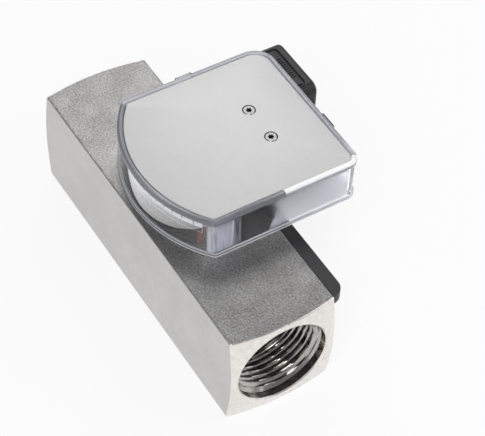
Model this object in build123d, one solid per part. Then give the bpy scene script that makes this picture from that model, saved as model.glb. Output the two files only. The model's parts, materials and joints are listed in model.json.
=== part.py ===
from build123d import *
import math
import os

# Variable area flow meter with a magnet driven dial and a reed switch, all sizes in millimetres.
# X runs along the flow from the inlet face, Y points to the dial's window, Z points up.

# Meter body, a square stainless bar with a pipe thread in each end
body_width = 40.0
body_length = 132.0
end_face_radius = 20.2
end_chamfer_angle = 15.0
mouth_radius = 17.0
mouth_depth = 3.0
mouth_chamfer = 0.4
thread_radius = 16.62
thread_length = 15.0
stop_radius = 12.5
stop_length = 4.0
bore_radius = 14.5
edge_round = 0.4

# Clearances between pieces that fit together
fit_gap = 0.05
seat_gap = 0.1
running_gap = 0.08
rest_gap = 0.3

# Flow insert: two guides, a tapered sleeve between them and the rod that the float slides on
guide_width = 4.0
guide_rim = 1.6
guide_hub_radius = 4.6
guide_arm_width = 2.4
guide_arm_count = 3
sleeve_length = 78.0
sleeve_throat_radius = 9.6
sleeve_wide_radius = 13.0
sleeve_entry_length = 3.0
sleeve_throat_length = 5.0
sleeve_taper_length = 38.0
rod_radius = 2.5
rod_end_radius = 2.0
nut_flat = 7.0
nut_thickness = 3.2
rod_end_reach = 3.6
ring_thickness = 1.2
ring_groove_depth = 0.9
ring_band = 1.9
ring_gap_angle = 34.0
ring_eye_radius = 1.7
ring_eye_hole = 0.7

# Float, its ring magnet and its cap
float_edge_radius = 9.2
float_nose_radius = 4.4
float_nose_length = 4.0
float_cone_length = 4.0
float_skirt_radius = 8.2
float_inner_wall = 0.9
float_outer_wall = 0.8
magnet_length = 11.0
float_cap_length = 2.4

# Return spring
spring_wire_radius = 0.45
spring_radius = 5.2
spring_turns = 9

# Dial pivot and pointer
pivot_x = 68.6
pivot_y = -29.7
swing_half_angle = 35.0
axle_radius = 0.75
hub_radius = 3.0
hub_height = 7.0
bush_radius = 1.6
bush_length = 1.6
washer_radius = 2.2
washer_thickness = 0.4
arm_width = 3.0
arm_thickness = 1.0
arm_lift = 2.2
tail_reach = 8.0
tail_radius = 2.6
flag_radius = 44.0
flag_width = 2.7
flag_thickness = 0.6
flag_height = 9.6
magnet_block_width = 8.0
magnet_block_depth = 5.0
magnet_block_height = 3.2

# Clear hood of the dial
hood_front_clearance = 6.2
hood_rear_clearance = 7.5
hood_arc_clearance = 3.6
hood_right_y = -52.7
hood_height = 16.4
rim_height = 3.0
rim_proud = 0.6
foot_height = 1.4
foot_proud = 0.3
hood_wall = 2.4
hood_panel = 1.6
corner_left_radius = 1.6
corner_front_radius = 5.0
corner_rear_radius = 11.0
corner_block_length = 7.0
corner_block_depth = 3.6
lug_width = 7.0
lug_proud = 1.0
lug_height = 6.0
lug_y = -20.0
hood_boss_radius = 3.4
pocket_depth = 1.0

# Cover plate and its screws
plate_inset = 2.1
plate_thickness = 1.2
plate_sink = 0.2
plate_edge_round = 0.25
screw_spacing = 14.5
screw_y = -31.3
screw_radius = 1.25
screw_head_radius = 2.3
screw_length = 20.0
screw_socket_radius = 0.85
screw_socket_depth = 0.9

# Dial floor
floor_thickness = 1.5
floor_notch_y = -24.3
floor_notch_half = 24.0
floor_notch_angle = 49.0
post_radius = 2.9
axle_boss_radius = 2.6
axle_boss_height = 1.0
axle_sink = 1.0

# Scale strip inside the window
strip_height = 5.2
strip_thickness = 0.4
strip_half_angle = 36.0

# Switch carrier on the side of the body
shelf_thickness = 4.0
tongue_width = 4.7
tongue_start_x = 2.5
tongue_end_radius = 4.4
shelf_start_x = 42.0
shelf_end_x = 112.5
shelf_reach = 20.0
shelf_corner_radius = 4.0
box_start_x = 64.0
box_below_plug = 7.9
box_wall = 2.0
box_corner_radius = 2.5
rib_thickness = 2.0
rib_drop = 12.0
cover_thickness = 2.0
carrier_screw_inset_x = 11.0
carrier_screw_clearance = 0.5
carrier_screw_radius = 2.0
carrier_screw_head_radius = 3.5
carrier_screw_head_height = 3.0
carrier_screw_reach = 6.0
small_screw_radius = 1.0
small_screw_head_radius = 1.9
small_screw_head_height = 1.3
small_screw_reach = 5.0
cover_boss_radius = 2.4
cover_boss_inset = 4.0

# Reed switch board inside the carrier
board_thickness = 1.6
board_stand_off = 4.0
board_margin = 3.0
board_post_offset = 3.85
board_post_radius = 2.2
reed_length = 14.0
reed_radius = 1.35
reed_lead_radius = 0.3
reed_lead_reach = 3.5

# Cable plug with four contacts, a gasket and a gland
plug_width = 27.7
plug_top_drop = 0.4
plug_front_x = 87.4
plug_corner_radius = 3.8
plug_edge_round = 1.4
plug_wall = 2.0
plug_base_thickness = 3.0
plug_gasket_thickness = 1.2
plug_depth = 24.6
base_island_inset = 3.35
base_island_height = 3.2
base_island_radius = 2.0
blade_width = 6.3
blade_thickness = 0.8
blade_reach = 6.5
blade_inset = 2.0
blade_tail_radius = 0.6
insert_inset = 2.85
insert_depth = 7.5
insert_radius = 2.5
plug_screw_radius = 1.5
plug_screw_head_radius = 2.9
plug_screw_head_height = 2.2
plug_screw_sink = 1.0
plug_screw_reach = 26.0
plug_rib_count = 3
plug_rib_width = 1.2
plug_rib_length = 15.0
plug_rib_pitch = 3.2
plug_groove_inset = 3.2
plug_groove_width = 0.9
plug_groove_depth = 0.6
gland_from_back = 10.6
gland_neck_radius = 9.6
gland_neck_length = 6.0
gland_nut_flat = 19.0
gland_nut_length = 9.0
gland_nut_chamfer = 1.2
gland_bore_radius = 4.5
gland_thread_radius = 7.6
gland_seal_length = 3.5
gland_washer_thickness = 0.8
gland_ledge = 1.0

# Places that follow from the sizes above
deck_z = body_width / 2
thread_end_x = mouth_depth + thread_length
bore_start_x = thread_end_x + stop_length
bore_end_x = body_length - thread_end_x
sleeve_start_x = bore_start_x + guide_width
sleeve_end_x = sleeve_start_x + sleeve_length
guide_end_x = sleeve_end_x + guide_width
follower_radius = -pivot_y
swing_half = math.radians(swing_half_angle)
magnet_x = pivot_x - follower_radius * math.sin(swing_half)
float_start_x = sleeve_start_x + rest_gap
float_bore_radius = rod_radius + running_gap
pocket_start_x = magnet_x - magnet_length / 2
float_end_x = pocket_start_x + magnet_length + float_cap_length

flag_reach = flag_radius * math.sin(swing_half)
hood_front_x = pivot_x - flag_reach - hood_front_clearance
hood_rear_x = pivot_x + flag_reach + hood_rear_clearance
hood_arc_radius = flag_radius + hood_arc_clearance
hood_top_z = deck_z + hood_height
plate_top_z = hood_top_z - plate_sink
panel_top_z = plate_top_z - plate_thickness
panel_bottom_z = panel_top_z - hood_panel
floor_top_z = deck_z + floor_thickness
boss_top_z = floor_top_z + axle_boss_height
hub_bottom_z = boss_top_z + washer_thickness + running_gap
hub_top_z = hub_bottom_z + hub_height
upper_washer_z = hub_top_z + running_gap
hood_boss_z = upper_washer_z + washer_thickness
arm_bottom_z = hub_bottom_z + arm_lift
screw_xs = [pivot_x - screw_spacing / 2, pivot_x + screw_spacing / 2]

shelf_bottom_z = deck_z - shelf_thickness
wall_y = -body_width / 2
cover_y = wall_y - shelf_reach + cover_thickness
plug_face_y = wall_y - shelf_reach
plug_back_x = plug_front_x + plug_width
box_end_x = plug_back_x
plug_x = plug_front_x + plug_width / 2
plug_z = deck_z - plug_top_drop - plug_width / 2
box_bottom_z = plug_z - plug_width / 2 - box_below_plug
box_mid_z = (shelf_bottom_z + box_bottom_z) / 2
carrier_screw_z = (shelf_bottom_z - box_mid_z - box_wall - carrier_screw_head_radius
                   - carrier_screw_clearance)
base_island_width = plug_width - 2 * base_island_inset
insert_width = plug_width - 2 * insert_inset
blade_spacing = insert_width - 2 * blade_inset
gasket_y = plug_face_y - plug_base_thickness
plug_start_y = gasket_y - plug_gasket_thickness
plug_end_y = plug_start_y - plug_depth
gland_y = plug_end_y + gland_from_back
gland_x = plug_front_x - gland_neck_length
board_y = wall_y - box_wall - board_stand_off
board_post_xs = [box_start_x + board_margin + board_post_radius, plug_x - board_post_offset]
reed_x = sum(board_post_xs) / 2


def turned(points):
    """Solid of revolution about the flow axis from (x, radius) points."""
    return revolve(make_face(Polyline(points, close=True)), Axis.X)


def post(radius, height):
    """Round post that stands on the origin."""
    return Cylinder(radius, height, align=(Align.CENTER, Align.CENTER, Align.MIN))


def bar_x(radius, x0, x1, y=0.0, z=0.0):
    """Round bar along X between two stations."""
    return Pos(x0, y, z) * Rot(0, 90, 0) * post(radius, x1 - x0)


def bar_y(radius, y0, y1, x, z):
    """Round bar along Y between two stations, y1 above y0."""
    return Pos(x, y0, z) * Rot(-90, 0, 0) * post(radius, y1 - y0)


def bar_z(radius, z0, z1, x, y):
    """Upright round bar between two heights."""
    return Pos(x, y, z0) * post(radius, z1 - z0)


def block(x0, x1, y0, y1, z0, z1):
    """Rectangular block between six planes."""
    return Pos(x0, y0, z0) * Box(x1 - x0, y1 - y0, z1 - z0, align=(Align.MIN, Align.MIN, Align.MIN))


def prism(sketch, z0, z1):
    """Sketch on the ground plane raised between two heights."""
    return extrude(Pos(0, 0, z0) * sketch, z1 - z0)


def hexagon_x(flat, x0, x1, y=0.0, z=0.0):
    """Hexagonal bar along X, as wide across flats as given."""
    side = extrude(RegularPolygon(flat / 2, 6, major_radius=False), x1 - x0)
    return Pos(x0, y, z) * Rot(0, 90, 0) * side


# Meter body

def body_envelope():
    """Turned outline that cuts the bar's end corners back to a shallow cone."""
    reach = body_width
    back_set = (reach - end_face_radius) * math.tan(math.radians(end_chamfer_angle))
    return turned([
        (0, 0),
        (0, end_face_radius),
        (back_set, reach),
        (body_length - back_set, reach),
        (body_length, end_face_radius),
        (body_length, 0),
    ])


def body_bore():
    """Through bore with a mouth, a plain pipe thread wall and a stop for the insert."""
    return turned([
        (0, 0),
        (0, mouth_radius + mouth_chamfer),
        (mouth_chamfer, mouth_radius),
        (mouth_depth, mouth_radius),
        (mouth_depth, thread_radius),
        (thread_end_x, thread_radius),
        (thread_end_x, stop_radius),
        (bore_start_x, stop_radius),
        (bore_start_x, bore_radius),
        (bore_end_x, bore_radius),
        (bore_end_x, thread_radius),
        (body_length - mouth_depth, thread_radius),
        (body_length - mouth_depth, mouth_radius),
        (body_length - mouth_chamfer, mouth_radius),
        (body_length, mouth_radius + mouth_chamfer),
        (body_length, 0),
    ])


def ring_groove():
    """Groove that holds the retaining ring behind the outlet guide."""
    outer = bar_x(bore_radius + ring_groove_depth, guide_end_x, guide_end_x + ring_thickness + seat_gap)
    return outer - bar_x(bore_radius - ring_groove_depth, guide_end_x, guide_end_x + ring_thickness + seat_gap)


def carrier_screw_places():
    """X and Z of the four screws that hold the carrier to the body."""
    xs = [box_start_x + carrier_screw_inset_x, box_end_x - carrier_screw_inset_x]
    return [(x, z) for x in xs for z in (box_mid_z - carrier_screw_z, box_mid_z + carrier_screw_z)]


def meter_body():
    bar = Pos(body_length / 2, 0, 0) * Box(body_length, body_width, body_width)
    bar = fillet(bar.edges().filter_by(Axis.X), edge_round)
    bar = bar & body_envelope()
    bar = bar - body_bore() - ring_groove()
    for x, z in carrier_screw_places():
        bar -= bar_y(carrier_screw_radius + fit_gap, wall_y, wall_y + carrier_screw_reach + seat_gap, x, z)
    return bar


# Flow insert

def flow_guide(x0):
    """Ring with three arms that carries one end of the guide rod."""
    outer = bore_radius - fit_gap
    wheel = bar_x(outer, x0, x0 + guide_width) - bar_x(outer - guide_rim, x0, x0 + guide_width)
    wheel += bar_x(guide_hub_radius, x0, x0 + guide_width)
    arm = block(x0, x0 + guide_width, -guide_arm_width / 2, guide_arm_width / 2, guide_rim / 2 - outer, 0)
    for k in range(guide_arm_count):
        wheel += Rot(k * 360 / guide_arm_count, 0, 0) * arm
    return wheel - bar_x(rod_end_radius + fit_gap, x0, x0 + guide_width)


def measuring_sleeve():
    """Sleeve whose throat widens along the flow, so the float rises with the flow."""
    outer = bore_radius - fit_gap
    throat_x = sleeve_start_x + sleeve_entry_length
    taper_x = throat_x + sleeve_throat_length
    wide_x = taper_x + sleeve_taper_length
    return turned([
        (sleeve_start_x, outer),
        (sleeve_start_x, outer - guide_rim),
        (throat_x, sleeve_throat_radius),
        (taper_x, sleeve_throat_radius),
        (wide_x, sleeve_wide_radius),
        (sleeve_end_x, sleeve_wide_radius),
        (sleeve_end_x, outer),
    ])


def guide_rod():
    """Rod with a stepped end through each guide."""
    rod = bar_x(rod_radius, sleeve_start_x, sleeve_end_x)
    return rod + bar_x(rod_end_radius, bore_start_x - rod_end_reach, guide_end_x + rod_end_reach)


def rod_nuts():
    """Hexagon nut on each end of the guide rod."""
    hole = bar_x(rod_end_radius + fit_gap, 0, body_length)
    starts = (bore_start_x - nut_thickness, guide_end_x)
    return [hexagon_x(nut_flat, x, x + nut_thickness) - hole for x in starts]


def retaining_ring():
    """Inside circlip with a gap and two plier eyes."""
    x0 = guide_end_x + seat_gap / 2
    x1 = x0 + ring_thickness
    outer = bore_radius + ring_groove_depth - seat_gap
    inner = outer - ring_band
    ring = bar_x(outer, x0, x1) - bar_x(inner, x0, x1)
    half_gap = outer * math.sin(math.radians(ring_gap_angle / 2))
    ring -= block(x0, x1, -half_gap, half_gap, -outer, 0)
    eye_reach = inner - ring_eye_radius / 2
    angle = math.radians(ring_gap_angle / 2) + ring_eye_radius / inner
    for side in (-1, 1):
        y = side * eye_reach * math.sin(angle)
        z = -eye_reach * math.cos(angle)
        ring += bar_x(ring_eye_radius, x0, x1, y, z)
        ring -= bar_x(ring_eye_hole, x0, x1, y, z)
    return ring


# Float

def float_body():
    """Float with a sharp measuring edge and a pocket for the ring magnet."""
    nose_x = float_start_x + float_nose_length
    edge_x = nose_x + float_cone_length
    solid = turned([
        (float_start_x, 0),
        (float_start_x, float_nose_radius - edge_round),
        (float_start_x + edge_round, float_nose_radius),
        (nose_x, float_nose_radius),
        (edge_x, float_edge_radius),
        (edge_x + edge_round, float_edge_radius),
        (edge_x + edge_round + float_edge_radius - float_skirt_radius, float_skirt_radius),
        (float_end_x, float_skirt_radius),
        (float_end_x, 0),
    ])
    pocket = bar_x(float_skirt_radius - float_outer_wall, pocket_start_x, float_end_x)
    core = bar_x(float_bore_radius + float_inner_wall, pocket_start_x, float_end_x)
    return solid - (pocket - core) - bar_x(float_bore_radius, float_start_x, float_end_x)


def float_ring(x0, x1):
    """Ring that fits the pocket in the float."""
    outer = float_skirt_radius - float_outer_wall - fit_gap
    inner = float_bore_radius + float_inner_wall + fit_gap
    return bar_x(outer, x0, x1) - bar_x(inner, x0, x1)


def float_magnet():
    return float_ring(pocket_start_x, pocket_start_x + magnet_length)


def float_cap():
    return float_ring(pocket_start_x + magnet_length, float_end_x)


def return_spring():
    """Coil spring from the float's cap to the outlet guide."""
    start_x = float_end_x + spring_wire_radius
    height = sleeve_end_x - spring_wire_radius - start_x
    path = Helix(pitch=height / spring_turns, height=height, radius=spring_radius)
    coil = sweep(Plane(path @ 0, z_dir=path % 0) * Circle(spring_wire_radius), path=path, is_frenet=True)
    return Pos(start_x, 0, 0) * Rot(0, 90, 0) * coil


# Dial

def dial_plan(inset):
    """Plan of the dial: straight front, rear and right sides, an arc about the pivot on the left."""
    radius = hood_arc_radius - inset
    x0 = hood_front_x + inset
    x1 = hood_rear_x - inset
    y0 = hood_right_y + inset
    span = Pos((x0 + x1) / 2, y0, 0) * Rectangle(x1 - x0, 2 * radius, align=(Align.CENTER, Align.MIN))
    plan = span & (Pos(pivot_x, pivot_y, 0) * Circle(radius))
    corners = plan.vertices().sort_by(Axis.Y)
    right = corners[:2].sort_by(Axis.X)
    rounded = fillet(right[0], corner_front_radius - inset)
    right = rounded.vertices().filter_by(lambda v: v.Y < pivot_y).sort_by(Axis.X)
    rounded = fillet(right[-1], corner_rear_radius - inset)
    left = rounded.vertices().sort_by(Axis.Y)[-2:]
    return fillet(left, max(corner_left_radius - inset, plate_edge_round))


def hood_cavity():
    """Inside of the hood, with a thick block of clear plastic in each window corner."""
    cavity = prism(dial_plan(hood_wall), deck_z, panel_bottom_z)
    y0 = pivot_y + math.sqrt(hood_arc_radius ** 2 - (hood_rear_x - pivot_x) ** 2) - corner_block_length
    y1 = y0 + 2 * corner_block_length
    cavity -= block(hood_front_x, hood_front_x + corner_block_depth, y0, y1, deck_z, panel_bottom_z)
    return cavity - block(hood_rear_x - corner_block_depth, hood_rear_x, y0, y1, deck_z, panel_bottom_z)


def display_hood():
    """Clear hood with a proud rim, a recess for the plate and a boss over the axle."""
    hood = prism(dial_plan(rim_proud), deck_z, hood_top_z)
    hood += prism(dial_plan(0), hood_top_z - rim_height, hood_top_z)
    hood += prism(dial_plan(rim_proud - foot_proud), deck_z, deck_z + foot_height)
    hood += block(hood_rear_x - rim_proud, hood_rear_x + lug_proud, lug_y - lug_width / 2,
                  lug_y + lug_width / 2, hood_top_z - lug_height, hood_top_z - plate_sink)
    hood -= hood_cavity()
    hood -= prism(dial_plan(plate_inset), panel_top_z, hood_top_z)
    hood += bar_z(hood_boss_radius, hood_boss_z, panel_top_z, pivot_x, pivot_y)
    pocket_top_z = hood_boss_z + pocket_depth + seat_gap
    hood -= bar_z(axle_radius + running_gap, hood_boss_z, pocket_top_z, pivot_x, pivot_y)
    for x in screw_xs:
        hood -= bar_z(screw_radius + seat_gap, panel_bottom_z, hood_top_z, x, screw_y)
    return hood


def cover_plate():
    """Metal plate sunk in the hood's rim, with a countersunk hole for each screw."""
    plate = prism(dial_plan(plate_inset + seat_gap), panel_top_z, plate_top_z)
    plate = fillet(plate.faces().sort_by(Axis.Z)[-1].edges(), plate_edge_round)
    for x in screw_xs:
        plate -= bar_z(screw_radius + seat_gap, panel_top_z, plate_top_z, x, screw_y)
        plate -= countersink(x, fit_gap)
    return plate


def countersink(x, gap):
    """Countersunk head form under the plate's top, larger all round by the gap."""
    top = screw_head_radius + gap
    low = screw_radius + gap
    slope = screw_head_radius - screw_radius
    cone = Cone(low, top, slope, align=(Align.CENTER, Align.CENTER, Align.MAX))
    return Pos(x, screw_y, plate_top_z) * cone


def cover_screws():
    """Two long countersunk screws through the dial into the carrier."""
    screws = []
    for x in screw_xs:
        screw = bar_z(screw_radius, plate_top_z - screw_length, plate_top_z, x, screw_y) + countersink(x, 0)
        socket = bar_z(screw_socket_radius, plate_top_z - screw_socket_depth, plate_top_z, x, screw_y)
        screws.append(screw - socket)
    return screws


def display_base():
    """Pale floor of the dial, with a sleeve for each cover screw and a boss for the axle."""
    spread = floor_notch_half + hood_arc_radius / math.tan(math.radians(floor_notch_angle))
    notch = make_face(Polyline([
        (-floor_notch_half, 0),
        (floor_notch_half, 0),
        (spread, hood_arc_radius),
        (-spread, hood_arc_radius),
    ], close=True))
    plan = dial_plan(hood_wall + seat_gap) - Pos(pivot_x, floor_notch_y, 0) * notch
    floor = prism(plan, deck_z, floor_top_z)
    floor += bar_z(axle_boss_radius, floor_top_z, boss_top_z, pivot_x, pivot_y)
    floor -= bar_z(axle_radius + fit_gap, boss_top_z - axle_sink - seat_gap, boss_top_z, pivot_x, pivot_y)
    for x in screw_xs:
        floor += bar_z(post_radius, floor_top_z, panel_bottom_z, x, screw_y)
        floor -= bar_z(screw_radius + seat_gap, deck_z, panel_bottom_z, x, screw_y)
    return floor


def scale_strip():
    """Curved strip behind the window's top edge that carries the scale."""
    outer = hood_arc_radius - hood_wall - seat_gap
    band = Circle(outer) - Circle(outer - strip_thickness)
    reach = outer / math.cos(math.radians(strip_half_angle))
    half = reach * math.sin(math.radians(strip_half_angle))
    depth = reach * math.cos(math.radians(strip_half_angle))
    wedge = make_face(Polyline([(0, 0), (-half, depth), (half, depth)], close=True))
    wedge += Pos(0, depth, 0) * Rectangle(2 * half, outer, align=(Align.CENTER, Align.MIN))
    return prism(Pos(pivot_x, pivot_y, 0) * (band & wedge), panel_bottom_z - strip_height, panel_bottom_z)


def pivot_axle():
    return bar_z(axle_radius, boss_top_z - axle_sink, hood_boss_z + pocket_depth, pivot_x, pivot_y)


def pivot_washers():
    """Thrust washer under and over the pointer's hub."""
    hole = bar_z(axle_radius + running_gap, deck_z, hood_top_z, pivot_x, pivot_y)
    return [bar_z(washer_radius, z, z + washer_thickness, pivot_x, pivot_y) - hole
            for z in (boss_top_z, upper_washer_z)]


# Pointer, drawn pointing at the window and turned back to its zero

def at_pointer_zero(shape):
    """Turn a piece drawn at the origin to the pointer's rest place on the pivot."""
    return Pos(pivot_x, pivot_y, 0) * Rot(0, 0, swing_half_angle) * shape


def pointer_hub():
    """Hub with a bush seat in each end and a step that carries the arm."""
    hub = bar_z(hub_radius, hub_bottom_z, hub_top_z, 0, 0)
    hub -= bar_z(axle_radius + 2 * running_gap, hub_bottom_z, hub_top_z, 0, 0)
    for z in (hub_bottom_z, hub_top_z - bush_length):
        hub -= bar_z(bush_radius + fit_gap / 2, z, z + bush_length, 0, 0)
    return at_pointer_zero(hub)


def pivot_bushes():
    bore = bar_z(axle_radius + running_gap, hub_bottom_z, hub_top_z, 0, 0)
    starts = (hub_bottom_z, hub_top_z - bush_length)
    return [at_pointer_zero(bar_z(bush_radius, z, z + bush_length, 0, 0) - bore) for z in starts]


def pointer_arm():
    """Flat arm with a balance tail, an eye on the hub and a shoe over the follower magnet."""
    z0 = arm_bottom_z
    z1 = z0 + arm_thickness
    arm = block(-arm_width / 2, arm_width / 2, -tail_reach, flag_radius - flag_thickness, z0, z1)
    arm += bar_z(hub_radius + arm_thickness, z0, z1 + arm_thickness, 0, 0)
    arm += bar_z(tail_radius, z0, z1, 0, -tail_reach)
    half_width = magnet_block_width / 2 + arm_thickness
    half_depth = magnet_block_depth / 2 + arm_thickness
    arm += block(-half_width, half_width, follower_radius - half_depth, follower_radius + half_depth, z0, z1)
    arm -= bar_z(hub_radius + fit_gap, z0, z1 + arm_thickness, 0, 0)
    return at_pointer_zero(arm)


def pointer_flag():
    """Red blade that runs behind the window."""
    z0 = arm_bottom_z + arm_thickness / 2 - flag_height / 2
    half = flag_width / 2
    flag = block(-half, half, flag_radius - flag_thickness, flag_radius, z0, z0 + flag_height)
    return at_pointer_zero(fillet(flag.edges().filter_by(Axis.Y), edge_round))


def follower_magnet():
    top = arm_bottom_z
    magnet = block(-magnet_block_width / 2, magnet_block_width / 2, follower_radius - magnet_block_depth / 2,
                   follower_radius + magnet_block_depth / 2, top - magnet_block_height, top)
    return at_pointer_zero(magnet)


# Switch carrier

def shelf_plan():
    """Plan of the carrier's shelf: a slim tongue along the body that widens under the dial."""
    y0 = wall_y - tongue_width
    tongue = Pos(tongue_start_x, y0, 0) * Rectangle(
        shelf_end_x - tongue_start_x, tongue_width, align=(Align.MIN, Align.MIN))
    tip = tongue.vertices().sort_by(Axis.Y)[:2].sort_by(Axis.X)[0]
    tongue = fillet(tip, tongue_end_radius)
    wide = Pos(shelf_start_x, cover_y, 0) * Rectangle(
        shelf_end_x - shelf_start_x, shelf_reach - cover_thickness, align=(Align.MIN, Align.MIN))
    corner = wide.vertices().sort_by(Axis.Y)[:2].sort_by(Axis.X)[0]
    return tongue + fillet(corner, shelf_corner_radius)


def cover_screw_places():
    """X and Z of the four screws that close the carrier's box, all clear of the plug."""
    low_z = box_bottom_z + cover_boss_inset
    high_z = shelf_bottom_z - cover_boss_inset
    left_x = box_start_x + cover_boss_inset
    return [(left_x, low_z), (left_x, high_z), (box_end_x - cover_boss_inset, low_z),
            (plug_front_x - cover_boss_inset, high_z)]


def switch_carrier():
    """Moulded shelf, tongue and open box that bolts to the body's side."""
    carrier = prism(shelf_plan(), shelf_bottom_z, deck_z)
    box = block(box_start_x, box_end_x, cover_y, wall_y, box_bottom_z, shelf_bottom_z)
    box = fillet(box.edges().filter_by(Axis.Y).group_by(Axis.Z)[0], box_corner_radius)
    carrier += box
    web = make_face(Polyline([
        (shelf_start_x + rib_thickness, shelf_bottom_z),
        (box_start_x, shelf_bottom_z),
        (box_start_x, shelf_bottom_z - rib_drop),
    ], close=True))
    for y in (wall_y, cover_y + rib_thickness):
        carrier += Pos(0, y, 0) * Rot(90, 0, 0) * extrude(web, rib_thickness)
    hollow = block(box_start_x + box_wall, box_end_x - box_wall, cover_y, wall_y - box_wall,
                   box_bottom_z + box_wall, shelf_bottom_z - box_wall / 2)
    carrier -= hollow
    for x, z in cover_screw_places():
        carrier += bar_y(cover_boss_radius, cover_y, wall_y, x, z) & box
        carrier -= bar_y(small_screw_radius + fit_gap, cover_y, cover_y + small_screw_reach, x, z)
    for x in board_post_xs:
        carrier += bar_y(board_post_radius, board_y, wall_y - box_wall, x, box_mid_z)
        carrier -= bar_y(small_screw_radius + fit_gap, board_y, wall_y - box_wall / 2, x, box_mid_z)
    for x, z in carrier_screw_places():
        carrier -= bar_y(carrier_screw_radius + seat_gap, wall_y - box_wall, wall_y, x, z)
    for x in screw_xs:
        carrier -= bar_z(screw_radius + fit_gap, plate_top_z - screw_length - seat_gap, deck_z, x, screw_y)
    return carrier


def socket_screw(radius, head_radius, head_height, reach, y, x, z):
    """Cylinder head screw that points at the body, with its head seated at y."""
    screw = bar_y(radius, y, y + reach, x, z) + bar_y(head_radius, y - head_height, y, x, z)
    socket = extrude(RegularPolygon(head_radius / 2, 6), head_height / 2)
    return screw - Pos(x, y - head_height, z) * Rot(-90, 0, 0) * socket


def carrier_screws():
    reach = box_wall + carrier_screw_reach
    return [socket_screw(carrier_screw_radius, carrier_screw_head_radius, carrier_screw_head_height,
                         reach, wall_y - box_wall, x, z) for x, z in carrier_screw_places()]


def board_half_height():
    """Half height of the switch board, clear of the bosses for the lid's screws."""
    return shelf_bottom_z - box_mid_z - cover_boss_inset - cover_boss_radius - rest_gap


def switch_board():
    """Printed board on two posts, with holes for its screws, the reed's leads and the contacts."""
    half = board_half_height()
    back_y = board_y - board_thickness
    board = block(box_start_x + board_margin, box_end_x - board_margin, back_y, board_y,
                  box_mid_z - half, box_mid_z + half)
    for x in board_post_xs:
        board -= bar_y(small_screw_radius + seat_gap, back_y, board_y, x, box_mid_z)
    for side in (-1, 1):
        board -= bar_y(reed_lead_radius + fit_gap, back_y, board_y, reed_foot_x(side), box_mid_z)
    for x, z, turn in blade_places():
        board -= bar_y(blade_tail_radius + fit_gap, back_y, board_y, x, z)
    return board


def small_screw(y, x, z):
    """Small screw of the switch box, with its head seated at y."""
    return socket_screw(small_screw_radius, small_screw_head_radius, small_screw_head_height,
                        small_screw_reach, y, x, z)


def board_screws():
    return [small_screw(board_y - board_thickness, x, box_mid_z) for x in board_post_xs]


def reed_foot_x(side):
    """X where a lead of the reed switch goes down into the board."""
    return reed_x + side * (reed_length + reed_lead_reach) / 2


def reed_switch():
    """Glass reed capsule whose leads bend down into the board."""
    y = board_y + reed_radius
    half = reed_length / 2 - reed_radius
    reed = bar_x(reed_radius, reed_x - half, reed_x + half, y, box_mid_z)
    for side in (-1, 1):
        foot_x = reed_foot_x(side)
        low, high = sorted((reed_x + side * half, foot_x))
        reed += Pos(reed_x + side * half, y, box_mid_z) * Sphere(reed_radius)
        reed += bar_x(reed_lead_radius, low, high, y, box_mid_z)
        reed += bar_y(reed_lead_radius, board_y - board_thickness, y, foot_x, box_mid_z)
        reed += Pos(foot_x, y, box_mid_z) * Sphere(reed_lead_radius)
    return reed


def square_y(width, radius, y0, y1):
    """Square bar along Y about the plug's axis, with rounded long edges."""
    half = width / 2
    bar = block(plug_x - half, plug_x + half, y0, y1, plug_z - half, plug_z + half)
    return fillet(bar.edges().filter_by(Axis.Y), radius)


def blade_places():
    """X, Z and turn about the plug's axis of the two contacts and the earth contact."""
    half = blade_spacing / 2
    return [(plug_x - half, plug_z, 0), (plug_x + half, plug_z, 0), (plug_x, plug_z - half, 90)]


def blade_slots(gap, y0, y1):
    """Flat bars where the blades run, larger all round by the gap."""
    half_thick = blade_thickness / 2 + gap
    half_wide = blade_width / 2 + gap
    return [Pos(x, 0, z) * Rot(0, turn, 0) * block(-half_thick, half_thick, y0, y1, -half_wide, half_wide)
            for x, z, turn in blade_places()]


def switch_cover():
    """Lid of the carrier's box, moulded in one with the square base that the plug sits on."""
    lid = block(box_start_x, box_end_x, plug_face_y, cover_y, box_bottom_z, deck_z)
    lid = fillet(lid.edges().filter_by(Axis.Y).group_by(Axis.Z)[0], box_corner_radius)
    apron = block(shelf_start_x, box_start_x, plug_face_y, cover_y, shelf_bottom_z, deck_z)
    lid += fillet(apron.edges().filter_by(Axis.Y).group_by(Axis.X)[0].sort_by(Axis.Z)[0], box_corner_radius)
    for x, z in cover_screw_places():
        lid -= bar_y(small_screw_radius + seat_gap, plug_face_y, cover_y, x, z)
    lid += square_y(plug_width, plug_corner_radius, gasket_y, plug_face_y)
    lid += square_y(base_island_width, base_island_radius, gasket_y - base_island_height, gasket_y)
    for slot in blade_slots(fit_gap, gasket_y - base_island_height, cover_y):
        lid -= slot
    tip_y = plug_end_y + plug_screw_sink + plug_screw_head_height + plug_screw_reach + seat_gap
    return lid - bar_y(plug_screw_radius + fit_gap, gasket_y - base_island_height, tip_y, plug_x, plug_z)


def switch_cover_screws():
    return [small_screw(plug_face_y, x, z) for x, z in cover_screw_places()]


def contact_blades():
    """Flat contacts that run from the switch board through the lid into the plug."""
    blades = blade_slots(0, gasket_y - base_island_height - blade_reach, cover_y)
    return [blade + bar_y(blade_tail_radius, cover_y, board_y, x, z)
            for blade, (x, z, turn) in zip(blades, blade_places())]


def plug_gasket():
    """Flat gasket between the lid and the plug."""
    sheet = square_y(plug_width, plug_corner_radius, plug_start_y, gasket_y)
    hole = base_island_width + 2 * seat_gap
    return sheet - square_y(hole, base_island_radius + seat_gap, plug_start_y, gasket_y)


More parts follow.
